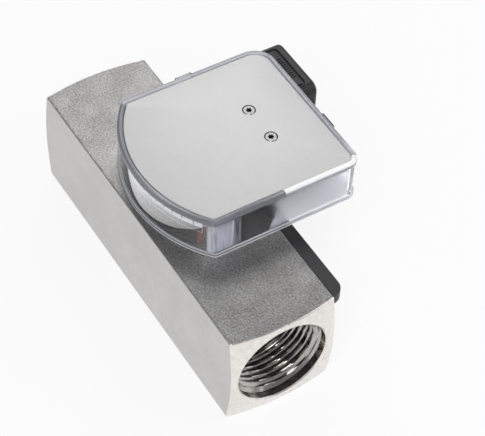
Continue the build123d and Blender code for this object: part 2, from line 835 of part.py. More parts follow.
def face_ribs():
    """Groove frame and ribs sunk in the plug's top face, drawn as the material to take away."""
    half = plug_width / 2
    y_mid = (plug_start_y + plug_end_y) / 2
    frame = Rectangle(plug_width - 2 * plug_groove_inset, plug_depth - 2 * plug_groove_inset)
    frame = fillet(frame.vertices(), plug_groove_inset / 2)
    cut = frame - offset(frame, -plug_groove_width)
    for k in range(plug_rib_count):
        y = (k - (plug_rib_count - 1) / 2) * plug_rib_pitch
        cut += Pos(0, y, 0) * SlotOverall(plug_rib_length, plug_rib_width)
    return Pos(plug_x, y_mid, plug_z + half - plug_groove_depth) * extrude(cut, plug_groove_depth)


def cable_plug():
    """Square plug cap with an open inside, a side neck for the gland and a sunk screw seat."""
    cap = square_y(plug_width, plug_corner_radius, plug_end_y, plug_start_y)
    cap = fillet(cap.faces().sort_by(Axis.Y)[0].edges(), plug_edge_round)
    cap += bar_x(gland_neck_radius, gland_x, plug_front_x + plug_wall, gland_y, plug_z)
    inner = plug_width - 2 * plug_wall
    floor_y = plug_end_y + plug_wall + plug_screw_sink
    cap -= square_y(inner, plug_corner_radius - plug_wall, floor_y, plug_start_y)
    ledge_x = plug_front_x + plug_wall - gland_ledge
    cap -= bar_x(gland_thread_radius, gland_x, ledge_x, gland_y, plug_z)
    cap -= bar_x(gland_bore_radius, ledge_x, plug_front_x + plug_wall, gland_y, plug_z)
    tube = bar_y(plug_screw_head_radius + plug_wall / 2, plug_end_y + plug_screw_sink,
                 plug_end_y + plug_screw_sink + plug_screw_head_height + plug_wall, plug_x, plug_z)
    cap += tube
    seat_y = plug_end_y + plug_screw_sink + plug_screw_head_height
    cap -= bar_y(plug_screw_head_radius + seat_gap, plug_end_y, seat_y, plug_x, plug_z)
    cap -= bar_y(plug_screw_radius + seat_gap, seat_y, seat_y + plug_wall, plug_x, plug_z)
    return cap - face_ribs()


def plug_insert():
    """Terminal block inside the plug, slotted for the blades and drilled for the screw."""
    start_y = gasket_y - base_island_height - seat_gap
    insert = square_y(insert_width, insert_radius, start_y - insert_depth, start_y)
    for slot in blade_slots(seat_gap, start_y - blade_reach - seat_gap, start_y):
        insert -= slot
    return insert - bar_y(plug_screw_radius + seat_gap, start_y - insert_depth, start_y, plug_x, plug_z)


def plug_screw():
    """Long screw through the plug into the lid."""
    head_y = plug_end_y + plug_screw_sink
    seat_y = head_y + plug_screw_head_height
    screw = bar_y(plug_screw_head_radius, head_y, seat_y, plug_x, plug_z)
    screw += bar_y(plug_screw_radius, seat_y, seat_y + plug_screw_reach, plug_x, plug_z)
    slot = block(plug_x - plug_screw_head_radius, plug_x + plug_screw_head_radius, head_y,
                 head_y + plug_screw_head_height / 2, plug_z - plug_rib_width / 2, plug_z + plug_rib_width / 2)
    return screw - slot


def gland_ring(x0, x1):
    """Ring in the gland's neck, open for the cable."""
    outer = gland_thread_radius - seat_gap
    return bar_x(outer, x0, x1, gland_y, plug_z) - bar_x(gland_bore_radius, x0, x1, gland_y, plug_z)


def gland_seal():
    ledge_x = plug_front_x + plug_wall - gland_ledge
    return gland_ring(ledge_x - gland_seal_length, ledge_x)


def gland_washer():
    seal_x = plug_front_x + plug_wall - gland_ledge - gland_seal_length
    return gland_ring(seal_x - gland_washer_thickness, seal_x)


def gland_nut():
    """Hexagon nut with a threaded spigot that squeezes the seal."""
    washer_x = plug_front_x + plug_wall - gland_ledge - gland_seal_length - gland_washer_thickness
    nut = hexagon_x(gland_nut_flat, gland_x - gland_nut_length, gland_x, gland_y, plug_z)
    taper = Pos(gland_x - gland_nut_length, gland_y, plug_z) * Rot(0, 90, 0) * Cone(
        gland_nut_flat / 2 - gland_nut_chamfer / 2, gland_nut_flat / 2 + gland_nut_length,
        gland_nut_length + gland_nut_chamfer / 2, align=(Align.CENTER, Align.CENTER, Align.MIN))
    nut = (nut & taper) + bar_x(gland_thread_radius - seat_gap, gland_x, washer_x, gland_y, plug_z)
    return nut - bar_x(gland_bore_radius, gland_x - gland_nut_length, washer_x, gland_y, plug_z)


parts = {
    "meter_body": meter_body(),
    "inlet_guide": flow_guide(bore_start_x),
    "measuring_sleeve": measuring_sleeve(),
    "outlet_guide": flow_guide(sleeve_end_x),
    "guide_rod": guide_rod(),
    "rod_nuts": rod_nuts(),
    "retaining_ring": retaining_ring(),
    "float_body": float_body(),
    "float_magnet": float_magnet(),
    "float_cap": float_cap(),
    "return_spring": return_spring(),
    "display_hood": display_hood(),
    "cover_plate": cover_plate(),
    "cover_screws": cover_screws(),
    "display_base": display_base(),
    "scale_strip": scale_strip(),
    "pivot_axle": pivot_axle(),
    "pivot_washers": pivot_washers(),
    "pointer_hub": pointer_hub(),
    "pivot_bushes": pivot_bushes(),
    "pointer_arm": pointer_arm(),
    "pointer_flag": pointer_flag(),
    "follower_magnet": follower_magnet(),
    "switch_carrier": switch_carrier(),
    "carrier_screws": carrier_screws(),
    "switch_board": switch_board(),
    "board_screws": board_screws(),
    "reed_switch": reed_switch(),
    "switch_cover": switch_cover(),
    "switch_cover_screws": switch_cover_screws(),
    "contact_blades": contact_blades(),
    "plug_gasket": plug_gasket(),
    "cable_plug": cable_plug(),
    "plug_insert": plug_insert(),
    "plug_screw": plug_screw(),
    "gland_seal": gland_seal(),
    "gland_washer": gland_washer(),
    "gland_nut": gland_nut(),
}

os.makedirs("parts", exist_ok=True)
for name, shape in parts.items():
    solids = shape if isinstance(shape, list) else [shape]
    export_step(Compound(children=solids) if len(solids) > 1 else solids[0], f"parts/{name}.step")
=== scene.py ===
import json
import math

import bmesh
import bpy
from mathutils import Matrix, Vector

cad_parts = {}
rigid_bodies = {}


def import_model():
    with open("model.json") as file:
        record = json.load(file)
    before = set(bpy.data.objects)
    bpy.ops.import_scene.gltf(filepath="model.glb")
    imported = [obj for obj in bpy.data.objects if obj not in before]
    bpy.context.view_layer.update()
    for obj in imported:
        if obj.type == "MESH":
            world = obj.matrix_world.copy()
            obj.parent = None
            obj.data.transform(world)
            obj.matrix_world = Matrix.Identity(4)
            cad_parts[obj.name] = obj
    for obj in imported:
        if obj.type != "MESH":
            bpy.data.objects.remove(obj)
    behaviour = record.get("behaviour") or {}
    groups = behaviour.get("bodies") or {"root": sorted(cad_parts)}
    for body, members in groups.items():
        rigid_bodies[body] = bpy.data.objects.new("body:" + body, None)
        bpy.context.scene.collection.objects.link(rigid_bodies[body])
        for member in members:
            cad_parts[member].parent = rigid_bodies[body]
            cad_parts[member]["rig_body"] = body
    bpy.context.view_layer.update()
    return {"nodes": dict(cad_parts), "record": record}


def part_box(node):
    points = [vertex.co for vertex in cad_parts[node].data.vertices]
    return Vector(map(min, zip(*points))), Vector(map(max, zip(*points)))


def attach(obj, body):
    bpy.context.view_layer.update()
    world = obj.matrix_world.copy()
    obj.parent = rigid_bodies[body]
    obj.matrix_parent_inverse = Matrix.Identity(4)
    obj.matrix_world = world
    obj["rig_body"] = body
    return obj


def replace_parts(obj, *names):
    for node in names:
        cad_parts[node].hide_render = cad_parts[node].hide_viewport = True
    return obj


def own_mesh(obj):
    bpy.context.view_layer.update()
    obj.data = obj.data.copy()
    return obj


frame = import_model()

MM = 0.001

# Meter body, in millimetres as all sizes down to the lamps
body_low, body_high = [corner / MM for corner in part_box("meter_body")]
body_half = body_high.y
body_length = body_high.x
deck_z = body_high.z
body_side_degrees = range(-43, 44, 2)
body_edge_round = 0.45
edge_degrees = (0, 30, 60, 90)
end_face_radius = 20.2
end_chamfer_angle = math.radians(15.0)
mouth_radius = 17.0
mouth_depth = 3.0
mouth_chamfer = 0.4
thread_major = 16.62
thread_minor = 15.2
thread_pitch = 2.309
thread_length = 15.0
thread_fade = 1.6
thread_flat_share = 0.08
thread_steps_per_turn = 12
stop_radius = 12.5
stop_length = 4.0
bore_radius = 14.5

# Plan of the dial
hood_low, hood_high = [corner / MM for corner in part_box("display_hood")]
pivot_x = 68.6
pivot_y = -29.7
hood_rear_reach = 32.73
hood_front_x = hood_low.x
hood_rear_x = pivot_x + hood_rear_reach
hood_right_y = hood_low.y
hood_arc_radius = hood_high.y - pivot_y
hood_top_z = hood_high.z
front_lead = 0.5
front_lean = 1.1
right_lean = 0.8
arc_lean = 0.35
arc_shift = 0.45
lip_start_y = -22.0
streak_length = 3.2
corner_left_radius = 1.6
corner_front_radius = 5.0
corner_rear_radius = 8.0
least_left_radius = 0.25
least_corner_radius = 0.3
corner_block_length = 7.0
corner_block_depth = 3.6
block_start_y = pivot_y + math.sqrt(hood_arc_radius ** 2 - hood_rear_reach ** 2) - corner_block_length
block_round = 0.45
block_round_share = 0.3
block_round_steps = 3
block_end_gap = 0.3
block_end_step = 0.02

# Steps round the dial's plan: two points of the front wall, then four corners with the arc before the last
CORNER_STEPS = 8
ARC_STEPS = 64
STRAIGHT_POINTS = 2
CORNER_POINTS = CORNER_STEPS + 1
BLOCK_FIRST = STRAIGHT_POINTS + 2 * CORNER_POINTS
ARC_FIRST = BLOCK_FIRST + CORNER_POINTS

# Wall of the hood: insets with heights over the deck, over the rim's foot and under the top
hood_wall = 2.4
wall_inset = 0.6
rim_height = 1.8
rim_round = 0.9
rim_round_steps = 6
plate_inset = 2.2
foot_steps = ((0.5, 0.0), (0.0, 0.2), (0.0, 0.77), (0.05, 1.25), (wall_inset, 1.55))
rim_steps = ((wall_inset, -0.3), (0.45, -0.1), (0.15, 0.0), (0.0, 0.2))
recess_steps = ((plate_inset - 0.55, 0.0), (plate_inset - 0.12, -0.25))
recess_floor_inset = plate_inset - 0.1
cavity_steps = ((hood_wall + 0.9, 0.0), (hood_wall + 0.25, -0.2), (hood_wall, -0.8))
low_rim_rows = 4

# Lug on the rear wall: depths under the top with the share that is drawn in
lug_y = -20.0
lug_width = 7.0
lug_proud = 1.0
lug_sink = 0.02
lug_taper = 0.5
lug_height = 6.0
lug_layers = ((lug_height, 0.4), (lug_height - 0.6, 0.0), (0.8, 0.0), (0.4, 0.4))
lug_narrowing = 0.1

# Strip of the dial's floor along the front wall, with the rounds at its right end
base_lip_front_y = -17.0
base_lip_back_y = -19.0
base_lip_gap = 0.4
base_lip_overlap = 0.3
base_lip_front_round = ((0.0, 2.4), (0.8, 0.7), (2.6, 0.0))
base_lip_back_round = ((2.0, 0.2), (0.0, 2.6))
base_lip_heights = (0.1, 1.45)

# Plate and its two screws
plate_low, plate_high = [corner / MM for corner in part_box("cover_plate")]
panel_bottom_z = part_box("scale_strip")[1].z / MM
plate_roll = ((plate_inset + 0.35, 0.0), (plate_inset + 0.12, 0.08), (plate_inset, 0.3))
screw_spacing = 14.5
screw_y = -31.3
screw_xs = (pivot_x - screw_spacing / 2, pivot_x + screw_spacing / 2)
screw_head_radius = 2.3
screw_radius = 1.25
countersink_gap = 0.12
countersink_depth = 1.1
screw_hole_gap = 0.15
screw_drop = 0.06
screw_recess = ((0.85, 0.14, 1.0), (0.9, 0.15, 0.08), (1.0, 0.15, 0.0))
screw_recess_lobes = 6
screw_rim = ((0.32, 0.0), (0.16, 0.15))
screw_neck_depth = 1.15
HOLE_POINTS = 40
SCREW_POINTS = 60

# Scale
tick_count = 16
tick_start = 32.0
tick_power = 0.9
tick_width = 0.45
tick_long = 2.6
tick_short = 1.9
tick_top_gap = 0.3
tick_sink = 0.06
long_tick_every = 5
print_height = 2.8
strip_gap = 0.1
strip_thickness = 0.4
strip_recess = 0.04
STRIP_STEPS = 60

# Return spring
wire_radius = 0.45
spring_turns = 9
spring_end_turns = 2
SPRING_STEPS_PER_TURN = 36
WIRE_POINTS = 10

# Collar on the plug's neck and ribs on the plug's top
collar_trim = 0.45
collar_width = 1.3
collar_length = 5.9
COLLAR_POINTS = 48
plug_front_x = 87.4
plug_top_z = 19.6
rib_count = 10
rib_first = 4.5
rib_length = 1.8
rib_pitch = 1.15
rib_width = 0.6
rib_height = 0.3
rib_sink = 0.2

# Rounding of each solid that keeps its own form
roundings = {
    "switch_carrier": 0.35, "switch_cover": 0.35, "cable_plug": 0.2, "gland_nut": 0.4, "plug_gasket": 0.1,
    "plug_screw": 0.1, "display_base": 0.2, "pointer_flag": 0.1, "pointer_arm": 0.15, "pointer_hub": 0.2,
    "follower_magnet": 0.2, "inlet_guide": 0.25, "outlet_guide": 0.25, "guide_rod": 0.2, "rod_nuts": 0.25,
    "retaining_ring": 0.15, "measuring_sleeve": 0.3, "float_body": 0.2, "float_cap": 0.2, "float_magnet": 0.2,
    "switch_board": 0.1, "switch_cover_screws": 0.1, "carrier_screws": 0.1, "plug_insert": 0.2,
    "contact_blades": 0.1, "gland_seal": 0.3, "gland_washer": 0.1, "pivot_axle": 0.1, "pivot_bushes": 0.1,
    "pivot_washers": 0.05, "board_screws": 0.1, "reed_switch": 0.0,
}
rounding_segments = 2
rounding_angle = math.radians(40.0)
flat_angle = math.radians(1.0)

# Coats that share a piece, each with the number that marks its faces
body_coats = ("body_top", "body_turned", "body_bore", "body_side")
TOP, TURNED, BORE, SIDE = range(4)
hood_coats = ("clear_plastic", "clear_corner", "clear_window", "clear_rim", "clear_edge_highlight", "clear_streak_shade",
              "clear_lip_highlight", "clear_rim_shade", "clear_front", "clear_ledge_shade")
PLAIN, CORNER, WINDOW, RIM, EDGE, STREAK_SHADE, LIP_HIGHLIGHT, RIM_SHADE, FRONT, LEDGE_SHADE = range(10)
METAL, SHADE = range(2)
FILM, INK, BARE = range(3)

# Floor, world, lamps and camera, in metres and watts, with the lens and its sensor in millimetres
floor_size = 6.0
floor_x = 0.07
floor_stops = ((0.3, (0.90, 0.90, 0.90)), (0.7, (0.92, 0.92, 0.92)))
floor_cloud = 3.0
floor_rough = 0.8
floor_glow = 0.85
room_stops = ((0.0, (0.95, 0.95, 0.95)), (0.6, (0.45, 0.455, 0.47)))
room_strength = 0.5
lamps = (
    ("key", (-0.5, 0.5, 0.9), (0.07, 0, 0), (0.6, 0.6), 7.0),
    ("fill", (-0.3, -0.8, 0.6), (0.07, 0, 0), (0.8, 0.8), 4.0),
    ("back", (0.76, -0.365, 0.76), (0.1, 0, 0), (0.5, 0.5), 2.9),
)
table_lamp = ("table glow", (0.066, 0.0, -0.0199), (0.066, 0.0, 1.0), (0.6, 0.6), 0.29)
camera_spot = Vector((-0.29664, 0.21637, 0.49421))
camera_target = Vector((0.04643, -0.01154, 0.02))
camera_roll = math.radians(3.135)
camera_sensor = 36.0
camera_lens = 137.37
camera_clip = 0.01


# Node materials

even = (1, 1, 1)
upright = (1, 1, 0.04)


class Nodes:
    """Small helper that builds one node material, left to right."""

    noise_rough = 0.55
    noise_low = 0.25
    noise_high = 0.75

    def __init__(self, name):
        self.material = bpy.data.materials.new(name)
        self.material.use_nodes = True
        self.tree = self.material.node_tree
        self.shader = self.tree.nodes["Principled BSDF"]
        self.output = self.tree.nodes["Material Output"]

    def add(self, kind):
        return self.tree.nodes.new(kind)

    def link(self, source, output, target, value):
        self.tree.links.new(source.outputs[output], target.inputs[value])

    def reckon(self, operation, value, source, output):
        """Sum, product or the like of a node's output and a set value in the second socket."""
        node = self.add("ShaderNodeMath")
        node.operation = operation
        node.inputs[1].default_value = value
        self.link(source, output, node, 0)
        return node

    def noise(self, scale, size, detail=4.0):
        """Noise in the piece's own metres, stretched by scale on each axis."""
        coord = self.add("ShaderNodeTexCoord")
        mapping = self.add("ShaderNodeMapping")
        mapping.inputs["Scale"].default_value = scale
        self.link(coord, "Object", mapping, "Vector")
        node = self.add("ShaderNodeTexNoise")
        node.inputs["Scale"].default_value = size
        node.inputs["Detail"].default_value = detail
        node.inputs["Roughness"].default_value = self.noise_rough
        self.link(mapping, "Vector", node, "Vector")
        return node

    def ramp(self, source, output, stops):
        """Colour ramp; a new stop starts in the middle until its place is set."""
        node = self.add("ShaderNodeValToRGB")
        while len(node.color_ramp.elements) < len(stops):
            node.color_ramp.elements.new(0.5)
        for element, (place, colour) in zip(node.color_ramp.elements, stops):
            element.position = place
            element.color = (*colour, 1.0)
        self.link(source, output, node, "Fac")
        return node

    def span(self, source, output, low, high):
        """Map the middle half of a noise to the range low to high."""
        node = self.add("ShaderNodeMapRange")
        node.inputs["From Min"].default_value = self.noise_low
        node.inputs["From Max"].default_value = self.noise_high
        node.inputs["To Min"].default_value = low
        node.inputs["To Max"].default_value = high
        self.link(source, output, node, "Value")
        return node

    def bump(self, source, output, strength, distance):
        node = self.add("ShaderNodeBump")
        node.inputs["Strength"].default_value = strength
        node.inputs["Distance"].default_value = distance
        self.link(source, output, node, "Height")
        return node

    def settle(self, colour, rough=None, normal=None, **sockets):
        """Wire the finished colour, roughness and normal into the shader."""
        self.link(colour, "Color", self.shader, "Base Color")
        if rough:
            self.link(rough, "Result", self.shader, "Roughness")
        if normal:
            self.link(normal, "Normal", self.shader, "Normal")
        for key, value in sockets.items():
            self.shader.inputs[key.replace("_", " ")].default_value = value
        return self.material

    def blend(self, share, share_output, second, second_output):
        """Show a second shader instead of the first by a share."""
        mix = self.add("ShaderNodeMixShader")
        self.link(share, share_output, mix, 0)
        self.link(self.shader, "BSDF", mix, 1)
        self.link(second, second_output, mix, 2)
        self.link(mix, "Shader", self.output, "Surface")


def grey(value, warmth=0.0):
    """Neutral colour, a little warmer in red and cooler in blue with warmth."""
    return (value * (1 + warmth), value, value * (1 - warmth))


def tinted(colour, share):
    """Colour made darker or paler by a share."""
    return tuple(min(1.0, share * c) for c in colour)


def metal(name, low, high, warmth, rough, grain, size, bump):
    """Steel with a stretched grain in colour, roughness and relief, and broad soft clouds."""
    cloud_size, cloud_share = 12, 0.35
    dark_place, pale_place = 0.45, 0.95
    grain_depth = 0.0002
    n = Nodes(name)
    fine = n.noise(grain, size)
    broad = n.noise(even, size / cloud_size, detail=2.0)
    mixed = n.reckon("MULTIPLY_ADD", cloud_share, broad, "Fac")
    n.link(fine, "Fac", mixed, 2)
    stops = [(dark_place, grey(low, warmth)), (pale_place, grey(high, warmth))]
    colour = n.ramp(mixed, "Value", stops)
    roughness = n.span(fine, "Fac", *rough)
    relief = n.bump(fine, "Fac", bump, grain_depth)
    return n.settle(colour, roughness, relief, Metallic=1.0)


def plastic(name, colour, rough, size=900.0, bump=0.15, specular=0.5):
    """Moulded plastic with a fine eroded grain."""
    dark_share, pale_share = 0.86, 1.14
    dark_place, pale_place = 0.3, 0.7
    rough_spread = 0.05
    grain_depth = 0.0001
    n = Nodes(name)
    grain = n.noise(even, size, detail=3.0)
    stops = [(dark_place, tinted(colour, dark_share)), (pale_place, tinted(colour, pale_share))]
    tint = n.ramp(grain, "Fac", stops)
    roughness = n.span(grain, "Fac", rough - rough_spread, rough + rough_spread)
    relief = n.bump(grain, "Fac", bump, grain_depth)
    return n.settle(tint, roughness, relief, Specular_IOR_Level=specular)


def clear(name, tint, rough, size=60.0, bump=0.01, **sockets):
    """Clear moulded plastic that lets light through for shadows as well."""
    dark_place, pale_place = 0.3, 0.7
    pale_share, shadow_share = 1.03, 0.93
    rough_spread = 0.02
    flow_depth = 0.0002
    n = Nodes(name)
    flow = n.noise(even, size, detail=2.0)
    colour = n.ramp(flow, "Fac", [(dark_place, tint), (pale_place, tinted(tint, pale_share))])
    roughness = n.span(flow, "Fac", rough, rough + rough_spread)
    relief = n.bump(flow, "Fac", bump, flow_depth)
    sockets = {"Transmission_Weight": 1.0, "IOR": 1.5, **sockets}
    n.settle(colour, roughness, relief, **sockets)
    path = n.add("ShaderNodeLightPath")
    through = n.add("ShaderNodeBsdfTransparent")
    through.inputs["Color"].default_value = (*tinted(tint, shadow_share), 1.0)
    n.blend(path, "Is Shadow Ray", through, "BSDF")
    return n.material


def clear_with_painted_streaks(name, colour, rough, size, through=0.2):
    """Clear plastic with soft upright streaks of painted light and shade, in place of the light a thick
    moulded corner bends.
    """
    dark_share, pale_share = 0.28, 0.82
    dark_place, full_place, pale_place = 0.37, 0.5, 0.72
    rough_spread = 0.15
    relief_strength, relief_depth = 0.3, 0.0003
    n = Nodes(name)
    streaks = n.noise(upright, size, detail=2.0)
    stops = [(dark_place, tinted(colour, dark_share)), (full_place, colour),
             (pale_place, tinted(colour, pale_share))]
    tint = n.ramp(streaks, "Fac", stops)
    roughness = n.span(streaks, "Fac", rough, rough + rough_spread)
    relief = n.bump(streaks, "Fac", relief_strength, relief_depth)
    return n.settle(tint, roughness, relief, Transmission_Weight=through, IOR=1.5)


# Metals: dark and pale value, warmth, roughness range, stretch, size and relief of the grain
finish = {
    # The bar is one steel in four coats: each face keeps its own grain, while the darker top and bore and the
    # paler sides and turned ends are painted shade and painted reflection of the bright floor
    "body_top": metal("body_top", 0.17, 0.5, 0.018, (0.34, 0.48), (1, 1, 1), 1350.0, 0.9),
    "body_side": metal("body_side", 0.51, 0.68, 0.022, (0.36, 0.5), (0.3, 2.0, 2.0), 900.0, 0.5),
    "body_turned": metal("body_turned", 0.70, 0.88, 0.045, (0.24, 0.34), (1, 1, 1), 500.0, 0.15),
    "body_bore": metal("body_bore", 0.36, 0.5, 0.045, (0.14, 0.2), (3, 0.6, 0.6), 700.0, 0.03),
    "insert_steel": metal("insert_steel", 0.5, 0.68, 0.0, (0.2, 0.32), (3, 1, 1), 600.0, 0.2),
    "spring_steel": metal("spring_steel", 0.42, 0.6, 0.0, (0.2, 0.3), (1, 1, 1), 800.0, 0.1),
    "screw_steel": metal("screw_steel", 0.16, 0.28, 0.0, (0.22, 0.36), (1, 1, 1), 900.0, 0.2),
    "plate_steel": metal("plate_steel", 0.69, 0.75, 0.006, (0.6, 0.68), (1, 1, 1), 1400.0, 0.1),
    "brass": metal("brass", 0.5, 0.6, 0.3, (0.2, 0.3), (1, 1, 1), 800.0, 0.1),
    "contact_metal": metal("contact_metal", 0.6, 0.75, 0.0, (0.15, 0.25), (1, 1, 1), 800.0, 0.05),
}

# Clear plastics: tint, roughness, size and strength of the flow lines
finish |= {
    "clear_plastic": clear("clear_plastic", (0.90, 0.915, 0.95), 0.0),
    "clear_window": clear("clear_window", (0.90, 0.915, 0.95), 0.0,
                          Coat_Weight=1.0, Coat_IOR=2.2, Coat_Roughness=0.0),
    "clear_front": clear("clear_front", (0.93, 0.94, 0.96), 0.3),
    # Rim: painted blue grey in place of the surroundings the clear rim shows by refraction
    "clear_rim": clear("clear_rim", (0.5, 0.51, 0.565), 0.2, 300.0, 0.05, Transmission_Weight=0.45),
    # Front right rim: painted highlight, a near-white copy of the clear plastic
    "clear_lip_highlight": clear("clear_lip_highlight", (0.97, 0.975, 0.985), 0.2, 300.0, 0.05, Transmission_Weight=0.2),
    # Rim over the arc: painted shade, a dark copy of the rim's coat
    "clear_rim_shade": clear("clear_rim_shade", (0.22, 0.225, 0.25), 0.25, 300.0, 0.05, Transmission_Weight=0.4),
    # Sloping top of the foot: painted shade, a grey copy of the clear plastic
    "clear_ledge_shade": clear("clear_ledge_shade", (0.55, 0.56, 0.61), 0.2, 300.0, 0.05, Transmission_Weight=0.3),
    # Foot's outer face: painted highlight, a pale copy of the clear plastic
    "clear_edge_highlight": clear("clear_edge_highlight", (0.86, 0.87, 0.9), 0.15, 300.0, 0.05, Transmission_Weight=0.2),
    # Front wall's inner end and the front right corner: painted shade in dark upright streaks
    "clear_streak_shade": clear_with_painted_streaks("clear_streak_shade", (0.40, 0.41, 0.46), 0.3, 1100.0, 0.45),
    # Thick corner blocks: painted light and shade in upright streaks
    "clear_corner": clear_with_painted_streaks("clear_corner", (0.78, 0.8, 0.87), 0.3, 380.0),
    "reed_glass": clear("reed_glass", (0.75, 0.9, 0.8), 0.02),
}

# Plastics and other dull materials: colour, roughness, size and strength of the grain
finish |= {
    "pale_plastic": plastic("pale_plastic", (0.70, 0.71, 0.715), 0.4),
    "scale_film": plastic("scale_film", (0.78, 0.79, 0.8), 0.35, 1200.0, 0.05),
    "shadow_line": plastic("shadow_line", (0.012, 0.012, 0.012), 0.6, 1500.0, 0.05),
    "scale_ink": plastic("scale_ink", (0.1, 0.1, 0.11), 0.5, 1500.0, 0.05),
    "pointer_black": plastic("pointer_black", (0.03, 0.03, 0.03), 0.4),
    "pointer_red": plastic("pointer_red", (0.13, 0.007, 0.006), 0.3, 700.0, 0.05),
    "black_plastic": plastic("black_plastic", (0.027, 0.027, 0.029), 0.42, 1100.0, 0.3, 0.3),
    "insert_plastic": plastic("insert_plastic", (0.1, 0.1, 0.11), 0.45),
    "magnet": plastic("magnet", (0.05, 0.05, 0.055), 0.35, 700.0, 0.3),
    "rubber": plastic("rubber", (0.03, 0.03, 0.03), 0.6, 800.0, 0.2),
    "board": plastic("board", (0.02, 0.12, 0.05), 0.35),
}


# Mesh helpers, all in millimetres

def piece(name, points, faces, materials, body, marks=None, sharp=35.0):
    """New piece from points and faces, smooth up to the sharp angle, riding on its body."""
    merge_distance = 1e-7
    mesh = bpy.data.meshes.new(name)
    mesh.from_pydata([Vector(p) * MM for p in points], [], faces)
    for material in materials:
        mesh.materials.append(finish[material])
    if marks:
        mesh.polygons.foreach_set("material_index", marks)
    bm = bmesh.new()
    bm.from_mesh(mesh)
    bmesh.ops.remove_doubles(bm, verts=bm.verts, dist=merge_distance)
    bmesh.ops.recalc_face_normals(bm, faces=bm.faces)
    bm.to_mesh(mesh)
    bm.free()
    mesh.polygons.foreach_set("use_smooth", [True] * len(mesh.polygons))
    mesh.set_sharp_from_angle(angle=math.radians(sharp))
    thing = bpy.data.objects.new(name, mesh)
    bpy.context.scene.collection.objects.link(thing)
    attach(thing, body)
    return thing


def ring_faces(first, second, count):
    """Quads between two closed rings of as many points."""
    faces = []
    for i in range(count):
        j = (i + 1) % count
        faces.append((first + i, first + j, second + j, second + i))
    return faces


def lofted(rings, cap_first=False, cap_last=False, closed=False):
    """Points and faces of a skin through closed rings of equal length."""
    count = len(rings[0])
    points = [p for ring in rings for p in ring]
    faces = []
    for k in range(len(rings) - 1):
        faces += ring_faces(k * count, (k + 1) * count, count)
    if closed:
        faces += ring_faces((len(rings) - 1) * count, 0, count)
    if cap_first:
        faces.append(tuple(range(count)))
    if cap_last:
        start = (len(rings) - 1) * count
        faces.append(tuple(range(start, start + count)))
    return points, faces


def add_skin(points, faces, more_points, more_faces):
    """Add the points and faces of a second skin to the lists of the first."""
    base = len(points)
    points += more_points
    faces += [tuple(base + i for i in face) for face in more_faces]


def lifted(plan, heights):
    """Rings of one flat plan at several heights."""
    return [[(x, y, z) for x, y in plan] for z in heights]


def circle(cx, cy, radius, count):
    """Points (x, y) round a circle."""
    return [(cx + radius * math.cos(2 * math.pi * k / count), cy + radius * math.sin(2 * math.pi * k / count))
            for k in range(count)]


def arc_points(centre, radius, start, stop, count):
    """Points on an arc between two angles in degrees."""
    return [(centre[0] + radius * math.cos(math.radians(start + (stop - start) * k / count)),
             centre[1] + radius * math.sin(math.radians(start + (stop - start) * k / count)))
            for k in range(count + 1)]


# Meter body

def perimeter():
    """Points (y, z) round the square bar with rounded edges, evenly spread by angle."""
    points = []
    inner = body_half - body_edge_round
    for quarter in range(4):
        turn = quarter * math.pi / 2
        flat = [(body_half, body_half * math.tan(math.radians(a))) for a in body_side_degrees]
        corner = [(inner + body_edge_round * math.cos(math.radians(a)),
                   inner + body_edge_round * math.sin(math.radians(a))) for a in edge_degrees]
        for y, z in flat + corner:
            points.append((y * math.cos(turn) - z * math.sin(turn), y * math.sin(turn) + z * math.cos(turn)))
    return points


def thread_radius_at(x, angle):
    """Radius of the thread's surface, x millimetres past its mouth."""
    phase = (x / thread_pitch - angle / (2 * math.pi)) % 1.0
    rise = 1.0 - abs(2.0 * phase - 1.0)
    rise = min(1.0, max(0.0, (rise - thread_flat_share) / (1.0 - 2.0 * thread_flat_share)))
    fade = min(1.0, max(0.0, (thread_length - x) / thread_fade))
    wall = thread_major - (thread_major - thread_minor) * rise * fade
    return max(wall, mouth_radius - x)


def end_rings(outline):
    """Rings from the side of the bar over its end face into the bore, for the end at x = 0."""
    radii = [math.hypot(y, z) for y, z in outline]
    angles = [math.atan2(z, y) for y, z in outline]

    def cone(radius):
        return max(0.0, (radius - end_face_radius) * math.tan(end_chamfer_angle))

    rings = []
    for turn in edge_degrees:
        inward = body_edge_round * (1 - math.cos(math.radians(turn)))
        back = body_edge_round * (1 - math.sin(math.radians(turn)))
        rings.append([(cone(r - inward) + back, r - inward) for r in radii])
    rings.append([(0.0, min(r - body_edge_round, end_face_radius)) for r in radii])
    marks = [TURNED] * (len(rings) - 1)
    mouth = [(0.0, mouth_radius + mouth_chamfer), (mouth_chamfer, mouth_radius), (mouth_depth, mouth_radius)]
    rings += [[station] * len(radii) for station in mouth]
    marks += [TURNED, TURNED, BORE]
    steps = int(thread_length / thread_pitch * thread_steps_per_turn)
    for k in range(1, steps + 1):
        x = thread_length * k / steps
        rings.append([(mouth_depth + x, thread_radius_at(x, a)) for a in angles])
        marks.append(BORE)
    rings.append([(mouth_depth + thread_length, stop_radius)] * len(radii))
    marks.append(BORE)
    placed = [[(x, r * math.cos(a), r * math.sin(a)) for (x, r), a in zip(ring, angles)] for ring in rings]
    return placed, marks


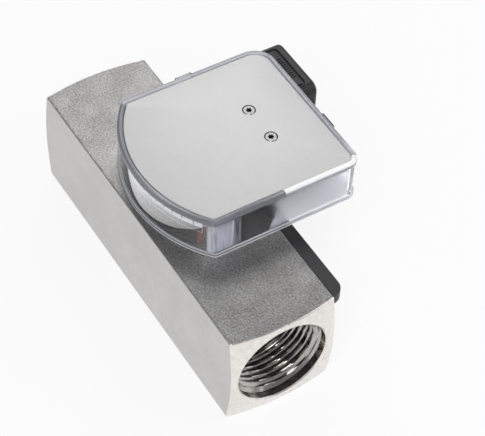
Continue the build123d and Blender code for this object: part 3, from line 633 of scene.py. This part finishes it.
def make_body():
    """Square bar with turned ends, a thread in each port and the bore between, as one closed skin."""
    outline = perimeter()
    angles = [math.atan2(z, y) for y, z in outline]
    near, near_marks = end_rings(outline)
    far = [[(body_length - x, y, z) for x, y, z in ring] for ring in near]

    def round_ring(x, radius):
        return [(x, radius * math.cos(a), radius * math.sin(a)) for a in angles]

    inner_x = mouth_depth + thread_length + stop_length
    outer_x = body_length - mouth_depth - thread_length
    middle = [round_ring(inner_x, stop_radius), round_ring(inner_x, bore_radius),
              round_ring(outer_x, bore_radius)]
    far[-1] = round_ring(outer_x, thread_major)
    rings = list(reversed(far)) + near + middle
    marks = list(reversed(near_marks)) + [TOP] + near_marks + [BORE] * (len(middle) + 1)
    points, faces = lofted(rings, closed=True)
    # Faces get the coat of their side: real grain of each face, with painted shade on the top and painted
    # reflection on the sides
    sides = [SIDE if abs(y) > abs(z) else TOP for y, z in outline]
    face_marks = [side if mark == TOP else mark for mark in marks for side in sides]
    body = piece("body_bar", points, faces, body_coats, "housing", face_marks, 30.0)
    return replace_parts(body, "meter_body")


# Dial

def dial_outline(inset, z, blocks=False):
    """Closed plan of the dial at a height, pulled in by inset; blocks cuts the window corners square as the
    cavity is. The walls lean, so the plan grows to the front and shrinks on the right towards the foot."""
    drop = (hood_top_z - z) / (hood_top_z - deck_z)
    front_x = hood_front_x - front_lead - front_lean * drop
    x0 = front_x + inset
    x1 = hood_rear_x - inset
    y0 = hood_right_y + right_lean * drop + inset
    radius = hood_arc_radius + arc_lean * drop - inset
    mid_x = pivot_x - arc_shift * drop
    front = max(corner_front_radius - inset, least_corner_radius)
    rear = max(corner_rear_radius - inset, least_corner_radius)
    left = max(corner_left_radius - inset, least_left_radius)

    def meet(x):
        """Centre of the fillet between the straight side at x and the arc."""
        side = 1 if x > mid_x else -1
        cx = x - side * left
        return (cx, pivot_y + math.sqrt((radius - left) ** 2 - (cx - mid_x) ** 2))

    def arc_angle(centre):
        return math.degrees(math.atan2(centre[1] - pivot_y, centre[0] - mid_x))

    def arc_y(angle):
        return pivot_y + radius * math.sin(math.radians(angle))

    loop = [(x0, block_start_y - streak_length), (x0, lip_start_y)]
    loop += arc_points((x0 + front, y0 + front), front, 180, 270, CORNER_STEPS)
    loop += arc_points((x1 - rear, y0 + rear), rear, 270, 360, CORNER_STEPS)
    if not blocks:
        rear_centre, front_centre = meet(x1), meet(x0)
        rear_angle, front_angle = arc_angle(rear_centre), arc_angle(front_centre)
        loop += arc_points(rear_centre, left, 0, rear_angle, CORNER_STEPS)
        loop += arc_points((mid_x, pivot_y), radius, rear_angle, front_angle, ARC_STEPS)[1:-1]
        loop += arc_points(front_centre, left, front_angle, 180, CORNER_STEPS)
        return loop
    rear_x = hood_rear_x - corner_block_depth
    front_x += corner_block_depth
    rear_stop = math.degrees(math.acos((rear_x - mid_x) / radius))
    front_stop = math.degrees(math.acos((front_x - mid_x) / radius))
    loop += block_path(x1, rear_x, arc_y(rear_stop))
    loop += arc_points((mid_x, pivot_y), radius, rear_stop, front_stop, ARC_STEPS)[1:-1]
    loop += list(reversed(block_path(x0, front_x, arc_y(front_stop))))
    return loop


def block_path(x_wall, x_block, y_arc):
    """Way round a thick corner: in from the wall, up to the arc, with small rounds."""
    side = 1 if x_wall > x_block else -1
    turn = block_round * min(1.0, abs(x_wall - x_block))
    part = block_round_share * turn
    wall = arc_points((x_wall - side * turn, block_start_y - turn), turn, 0, 90, block_round_steps)
    wall = [(x, y) if side > 0 else (2 * (x_wall - side * turn) - x, y) for x, y in wall]
    step = [(x_block + side * turn, block_start_y), (x_block + side * part, block_start_y + part),
            (x_block, block_start_y + turn)]
    end = [(x_block, y_arc - block_end_gap), (x_block - side * block_end_step, y_arc)]
    return wall + step + end


def in_block(column):
    """True for the columns of the plan that belong to a thick corner."""
    second = ARC_FIRST + ARC_STEPS - 2
    return BLOCK_FIRST <= column < ARC_FIRST or second <= column < second + CORNER_POINTS


def in_arc(column):
    """True for the columns of the plan that belong to the curved window."""
    return ARC_FIRST <= column < ARC_FIRST + ARC_STEPS - 1


def ring_at(inset, z, blocks=False):
    """The dial's plan as a ring of points at its height."""
    return [(x, y, z) for x, y in dial_outline(inset, z, blocks)]


def rounded_edge(radius, top):
    """Insets and heights round an outer top edge."""
    turns = [math.radians(90 * k / rim_round_steps) for k in range(rim_round_steps + 1)]
    return [(radius * (1 - math.cos(a)), top - radius * (1 - math.sin(a))) for a in turns]


def make_hood():
    """Clear hood as one closed skin: cavity, foot, wall, rim and the recess for the plate."""
    rim_z = hood_top_z - rim_height
    outside = [(inset, deck_z + rise) for inset, rise in foot_steps]
    outside += [(inset, rim_z + rise) for inset, rise in rim_steps]
    outside += rounded_edge(rim_round, hood_top_z)
    outside += [(inset, hood_top_z + rise) for inset, rise in recess_steps]
    outside.append((recess_floor_inset, plate_low.z))
    inside = [(inset, panel_bottom_z + rise) for inset, rise in cavity_steps] + [(hood_wall, deck_z)]
    rings = [ring_at(inset, z, True) for inset, z in inside] + [ring_at(inset, z) for inset, z in outside]
    points, faces = lofted(rings, True, True)

    width = len(rings[0])
    # The hood's bands carry painted light and shade: painted highlights on the foot's outer face and the
    # front right rim, painted shade on the top of the foot, on the rim over the arc and in dark streaks,
    # painted grey on the rest of the rim, and painted streaks in the thick corners
    plain, edge, ledge = [PLAIN] * width, [EDGE] * width, [LEDGE_SHADE] * width
    corners = [CORNER if in_block(k) else PLAIN for k in range(width)]
    corners[-1] = STREAK_SHADE
    window = [WINDOW if in_arc(k) else PLAIN for k in range(width)]
    streak_first = STRAIGHT_POINTS + CORNER_STEPS // 2
    streak_stop = STRAIGHT_POINTS + CORNER_STEPS
    window[streak_first:streak_stop] = [STREAK_SHADE] * (streak_stop - streak_first)
    window[:STRAIGHT_POINTS] = [FRONT] * STRAIGHT_POINTS
    low_rim = [RIM_SHADE if k == 0 or k >= ARC_FIRST else RIM for k in range(width)]
    rim = [LIP_HIGHLIGHT if 0 < k < CORNER_STEPS else low_rim[k] for k in range(width)]
    # The first two outside bands, the foot's outer face, carry the painted highlight
    rows = [edge, edge, low_rim, ledge, window, plain, plain] + [low_rim] * low_rim_rows
    rows += [rim] * (len(outside) - 1 - len(rows))
    marks = corners * (len(inside) - 1) + plain
    for row in rows:
        marks += row
    marks += [PLAIN] * (len(faces) - len(marks))
    hood = piece("clear_hood", points, faces, hood_coats, "housing", marks, 20.0)
    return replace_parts(hood, "display_hood")


def make_lug():
    """Small moulded lug on the hood's rear wall."""
    half = lug_width / 2
    x0 = hood_rear_x - lug_sink
    outline = [(-half, 0), (-half + lug_taper, lug_proud), (half - lug_taper, lug_proud), (half, 0)]
    rings = []
    for depth, shrink in lug_layers:
        narrow = 1 - shrink * lug_narrowing
        z = hood_top_z - depth
        rings.append([(x0 + reach * (1 - shrink), lug_y + y * narrow, z) for y, reach in outline])
    points, faces = lofted(rings, True, True)
    return piece("hood_lug", points, faces, ["clear_plastic"], "housing")


def make_base_lip():
    """Strip of the dial's floor that follows the leaning front wall."""
    x0 = hood_front_x - front_lead - front_lean + wall_inset + hood_wall
    x1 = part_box("display_base")[0].x / MM + base_lip_overlap
    y0 = hood_right_y + right_lean + hood_wall + base_lip_gap
    plan = [(x0, base_lip_front_y)]
    plan += [(x0 + x, y0 + y) for x, y in base_lip_front_round]
    plan += [(x1 + x, y0 + y) for x, y in base_lip_back_round]
    plan.append((x1, base_lip_back_y))
    points, faces = lofted(lifted(plan, [deck_z + rise for rise in base_lip_heights]), True, True)
    return piece("base_lip", points, faces, ["pale_plastic"], "housing")


def make_gland_collar():
    """Collar round the plug's neck, as wide as the gland nut across its corners."""
    front_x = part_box("cable_plug")[0].x / MM + collar_length
    low, high = [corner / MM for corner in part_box("gland_nut")]
    middle = (low + high) / 2
    outer = (high.z - low.z) / 2 - collar_trim
    inner = outer - collar_width
    rings = []
    for radius, x in ((inner, high.x), (outer, high.x), (outer, front_x), (inner, front_x)):
        rings.append([(x, middle.y + y, middle.z + z) for y, z in circle(0, 0, radius, COLLAR_POINTS)])
    points, faces = lofted(rings, True, False)
    return piece("gland_collar", points, faces, ["black_plastic"], "housing")


def make_plug_ribs():
    """Row of short grip ribs across the field of the plug's top."""
    low, high = [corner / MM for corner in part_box("cable_plug")]
    middle = (plug_front_x + high.x) / 2
    y0 = low.y + rib_first
    y1 = y0 + rib_length
    points, faces = [], []
    for k in range(rib_count):
        x = middle + (k - (rib_count - 1) / 2) * rib_pitch
        x0, x1 = x - rib_width / 2, x + rib_width / 2
        plan = [(x0, y0), (x1, y0), (x1, y1), (x0, y1)]
        rings = lifted(plan, (plug_top_z - rib_sink, plug_top_z + rib_height))
        add_skin(points, faces, *lofted(rings, True, True))
    return piece("plug_ribs", points, faces, ["black_plastic"], "housing")


def flat_with_holes(outer, holes, z):
    """Triangles that fill a flat outline around its holes."""
    bm = bmesh.new()
    edges = []
    for loop in [outer] + holes:
        verts = [bm.verts.new((x, y, z)) for x, y in loop]
        for k, vert in enumerate(verts):
            edges.append(bm.edges.new((vert, verts[(k + 1) % len(verts)])))
    bmesh.ops.triangle_fill(bm, use_beauty=True, edges=edges)
    bm.verts.index_update()
    points = [tuple(v.co) for v in bm.verts]
    faces = [tuple(v.index for v in f.verts) for f in bm.faces]
    bm.free()
    return points, faces


def make_plate():
    """Satin plate with a rolled edge and two countersinks."""
    top = plate_high.z
    hole_radius = screw_head_radius + countersink_gap
    neck_radius = screw_radius + screw_hole_gap
    holes = [circle(x, screw_y, hole_radius, HOLE_POINTS) for x in screw_xs]
    points, faces = flat_with_holes(dial_outline(plate_roll[0][0], top), holes, top)
    edge = [(inset, top - depth) for inset, depth in plate_roll] + [(plate_inset, plate_low.z)]
    skins = [(METAL, lofted([ring_at(inset, z) for inset, z in edge], False, True))]
    levels = ((hole_radius, top), (neck_radius, top - countersink_depth), (neck_radius, plate_low.z))
    for x in screw_xs:
        rings = [[(px, py, z) for px, py in circle(x, screw_y, r, HOLE_POINTS)] for r, z in levels]
        skins.append((SHADE, lofted(rings)))
    marks = [METAL] * len(faces)
    for mark, (more_points, more_faces) in skins:
        add_skin(points, faces, more_points, more_faces)
        marks += [mark] * len(more_faces)
    coats = ["plate_steel", "shadow_line"]
    plate = piece("satin_plate", points, faces, coats, "housing", marks, 30.0)
    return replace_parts(plate, "cover_plate")


def star(cx, cy, radius, depth, count):
    """Outline of a lobed recess."""
    points = []
    for k in range(count):
        a = 2 * math.pi * k / count
        r = radius + depth * math.cos(screw_recess_lobes * a)
        points.append((cx + r * math.cos(a), cy + r * math.sin(a)))
    return points


def make_cover_screws():
    """Countersunk heads with a six lobed recess, on their long shanks."""
    top = plate_high.z - screw_drop
    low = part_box("cover_screws")[0].z / MM
    points, faces, marks = [], [], []
    for x in screw_xs:
        profile = [(star(x, screw_y, radius, lobe, SCREW_POINTS), top - depth)
                   for radius, lobe, depth in screw_recess]
        profile += [(circle(x, screw_y, screw_head_radius - inset, SCREW_POINTS), top - depth)
                    for inset, depth in screw_rim]
        shank = circle(x, screw_y, screw_radius, SCREW_POINTS)
        profile += [(shank, top - screw_neck_depth), (shank, low)]
        rings = [[(px, py, z) for px, py in outline] for outline, z in profile]
        more_points, more_faces = lofted(rings, True, True)
        add_skin(points, faces, more_points, more_faces)
        recess = (len(screw_recess) - 1) * SCREW_POINTS
        marks += [SHADE] * recess + [METAL] * (len(more_faces) - recess - 2) + [SHADE, METAL]
    coats = ["screw_steel", "shadow_line"]
    screws = piece("star_screws", points, faces, coats, "housing", marks, 35.0)
    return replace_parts(screws, "cover_screws")


def make_scale():
    """Curved white strip with ink ticks, closer together towards full flow."""
    low, high = [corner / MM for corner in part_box("scale_strip")]
    outer = hood_arc_radius - hood_wall - strip_gap
    inner = outer - strip_thickness
    half = math.degrees(math.asin((high.x - pivot_x) / outer))

    def bent(radius, start, stop, count):
        return [(pivot_x + radius * math.sin(math.radians(a)), pivot_y + radius * math.cos(math.radians(a)))
                for a in [start + (stop - start) * k / count for k in range(count + 1)]]

    outline = bent(outer - strip_recess, -half, half, STRIP_STEPS) + bent(inner, half, -half, STRIP_STEPS)
    points, faces = lofted(lifted(outline, (low.z, high.z - print_height, high.z)), True, True)
    marks = [BARE] * len(outline) + [FILM] * (len(faces) - len(outline))
    width = math.degrees(tick_width / outer) / 2
    for k in range(tick_count):
        angle = -tick_start + 2 * tick_start * (k / (tick_count - 1)) ** tick_power
        reach = tick_short if k % long_tick_every else tick_long
        tick = bent(outer, angle - width, angle + width, 1)
        tick += bent(outer - tick_sink, angle + width, angle - width, 1)
        more_points, more_faces = lofted(lifted(tick, (high.z - reach, high.z - tick_top_gap)), True, True)
        add_skin(points, faces, more_points, more_faces)
        marks += [INK] * len(more_faces)
    coats = ["scale_film", "scale_ink", "clear_plastic"]
    strip = piece("ticked_strip", points, faces, coats, "housing", marks)
    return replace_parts(strip, "scale_strip")


# Inside

def make_spring():
    """Round wire coil with closed ends, built in one fixed shape, though the real spring shortens as the
    float rises.
    """
    low, high = [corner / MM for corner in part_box("return_spring")]
    mean = high.y - wire_radius
    start, stop = low.x + wire_radius, high.x - wire_radius
    turns = spring_turns + spring_end_turns
    steps = turns * SPRING_STEPS_PER_TURN
    wire = [2 * math.pi * j / WIRE_POINTS for j in range(WIRE_POINTS)]
    rings = []
    for k in range(steps + 1):
        turn = turns * k / steps
        share = min(1.0, max(0.0, (turn - 1) / spring_turns))
        dead = min(turn, 1.0) + max(0.0, turn - 1 - spring_turns)
        x = start + 2 * wire_radius * dead + (stop - start - 4 * wire_radius) * share
        out = Vector((0, math.cos(2 * math.pi * turn), math.sin(2 * math.pi * turn)))
        centre = Vector((x, 0, 0)) + mean * out
        rings.append([centre + wire_radius * (math.cos(a) * out + Vector((math.sin(a), 0, 0))) for a in wire])
    points, faces = lofted(rings, True, True)
    coil = piece("spring_coil", points, faces, ["spring_steel"], "housing", None, 60.0)
    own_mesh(coil)
    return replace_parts(coil, "return_spring")


def dress(node, material, width):
    """Copy of a CAD node with merged points and rounded edges, in its own finish."""
    merge_distance = 1e-6
    cad = frame["nodes"][node]
    mesh = cad.data.copy()
    mesh.materials.clear()
    mesh.materials.append(finish[material])
    bm = bmesh.new()
    bm.from_mesh(mesh)
    bmesh.ops.remove_doubles(bm, verts=bm.verts, dist=merge_distance)
    bmesh.ops.dissolve_limit(bm, angle_limit=flat_angle, verts=bm.verts, edges=bm.edges)
    bm.to_mesh(mesh)
    bm.free()
    thing = bpy.data.objects.new(node + "_dressed", mesh)
    bpy.context.scene.collection.objects.link(thing)
    if width:
        bevel = thing.modifiers.new("round", "BEVEL")
        bevel.width = width * MM
        bevel.segments = rounding_segments
        bevel.limit_method = "ANGLE"
        bevel.angle_limit = rounding_angle
        bevel.harden_normals = False
    mesh.polygons.foreach_set("use_smooth", [True] * len(mesh.polygons))
    mesh.set_sharp_from_angle(angle=rounding_angle)
    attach(thing, cad["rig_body"])
    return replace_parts(thing, node)


make_body()
make_hood()
make_lug()
make_plate()
make_cover_screws()
make_base_lip()
make_gland_collar()
make_plug_ribs()
make_scale()
make_spring()
slot_of = {item["node"]: item["material_slot"] for item in frame["record"]["subparts"]}
for node, rounding in roundings.items():
    dress(node, slot_of[node], rounding)


# Floor, world, lamps and camera

def make_floor():
    """White floor that keeps a soft shadow."""
    bpy.ops.mesh.primitive_plane_add(size=floor_size, location=(floor_x, 0.0, body_low.z * MM))
    floor = bpy.context.object
    floor.name = "studio_floor"
    n = Nodes("studio_floor")
    cloud = n.noise(even, floor_cloud, detail=2.0)
    tint = n.ramp(cloud, "Fac", floor_stops)
    n.settle(tint, Roughness=floor_rough)
    path = n.add("ShaderNodeLightPath")
    seen = n.add("ShaderNodeMath")
    seen.operation = "MAXIMUM"
    n.link(path, "Is Camera Ray", seen, 0)
    n.link(path, "Is Glossy Ray", seen, 1)
    share = n.reckon("MULTIPLY", floor_glow, seen, "Value")
    n.blend(share, "Value", n.add("ShaderNodeEmission"), "Emission")
    floor.data.materials.append(n.material)


def make_world():
    """Pale room: white to the camera, a soft grey ceiling to everything else."""
    world = bpy.data.worlds.new("studio")
    bpy.context.scene.world = world
    world.use_nodes = True
    tree = world.node_tree
    coord = tree.nodes.new("ShaderNodeTexCoord")
    parts = tree.nodes.new("ShaderNodeSeparateXYZ")
    ramp = tree.nodes.new("ShaderNodeValToRGB")
    for element, (place, colour) in zip(ramp.color_ramp.elements, room_stops):
        element.position = place
        element.color = (*colour, 1.0)
    room = tree.nodes["Background"]
    room.inputs["Strength"].default_value = room_strength
    white = tree.nodes.new("ShaderNodeBackground")
    white.inputs["Color"].default_value = (1.0, 1.0, 1.0, 1.0)
    path = tree.nodes.new("ShaderNodeLightPath")
    mix = tree.nodes.new("ShaderNodeMixShader")
    tree.links.new(coord.outputs["Generated"], parts.inputs[0])
    tree.links.new(parts.outputs["Z"], ramp.inputs["Fac"])
    tree.links.new(ramp.outputs["Color"], room.inputs["Color"])
    tree.links.new(path.outputs["Is Camera Ray"], mix.inputs[0])
    tree.links.new(room.outputs[0], mix.inputs[1])
    tree.links.new(white.outputs[0], mix.inputs[2])
    tree.links.new(mix.outputs[0], tree.nodes["World Output"].inputs["Surface"])


def make_lamp(name, spot, target, size, power):
    """Square soft box that looks at a target."""
    lamp = bpy.data.lights.new(name, "AREA")
    lamp.shape = "RECTANGLE"
    lamp.size, lamp.size_y = size
    lamp.energy = power
    holder = bpy.data.objects.new(name, lamp)
    bpy.context.scene.collection.objects.link(holder)
    holder.location = spot
    holder.rotation_euler = (Vector(target) - Vector(spot)).to_track_quat("-Z", "Y").to_euler()
    return holder


def only_for(lamp, names):
    """Let a lamp reach the named pieces alone, and keep it out of the camera's sight."""
    group = bpy.data.collections.new(lamp.name + " receivers")
    for name in names:
        group.objects.link(bpy.data.objects[name])
    lamp.light_linking.receiver_collection = group
    lamp.visible_camera = False


def make_camera():
    """Camera at the photograph's place, found from the corners of the bar."""
    back = (camera_spot - camera_target).normalized()
    level = Vector((0, 0, 1)).cross(back).normalized()
    rise = back.cross(level)
    right = math.cos(camera_roll) * level + math.sin(camera_roll) * rise
    up = back.cross(right)
    data = bpy.data.cameras.new("camera")
    data.sensor_width = camera_sensor
    data.lens = camera_lens
    data.clip_start = camera_clip
    camera = bpy.data.objects.new("camera", data)
    bpy.context.scene.collection.objects.link(camera)
    turn = Matrix((right, up, back)).transposed().to_4x4()
    camera.matrix_world = Matrix.Translation(camera_spot) @ turn
    bpy.context.scene.camera = camera


make_floor()
make_world()
for lamp in lamps:
    make_lamp(*lamp)
only_for(make_lamp(*table_lamp), ("clear_hood", "hood_lug"))
make_camera()
bpy.context.scene.view_settings.view_transform = "Standard"
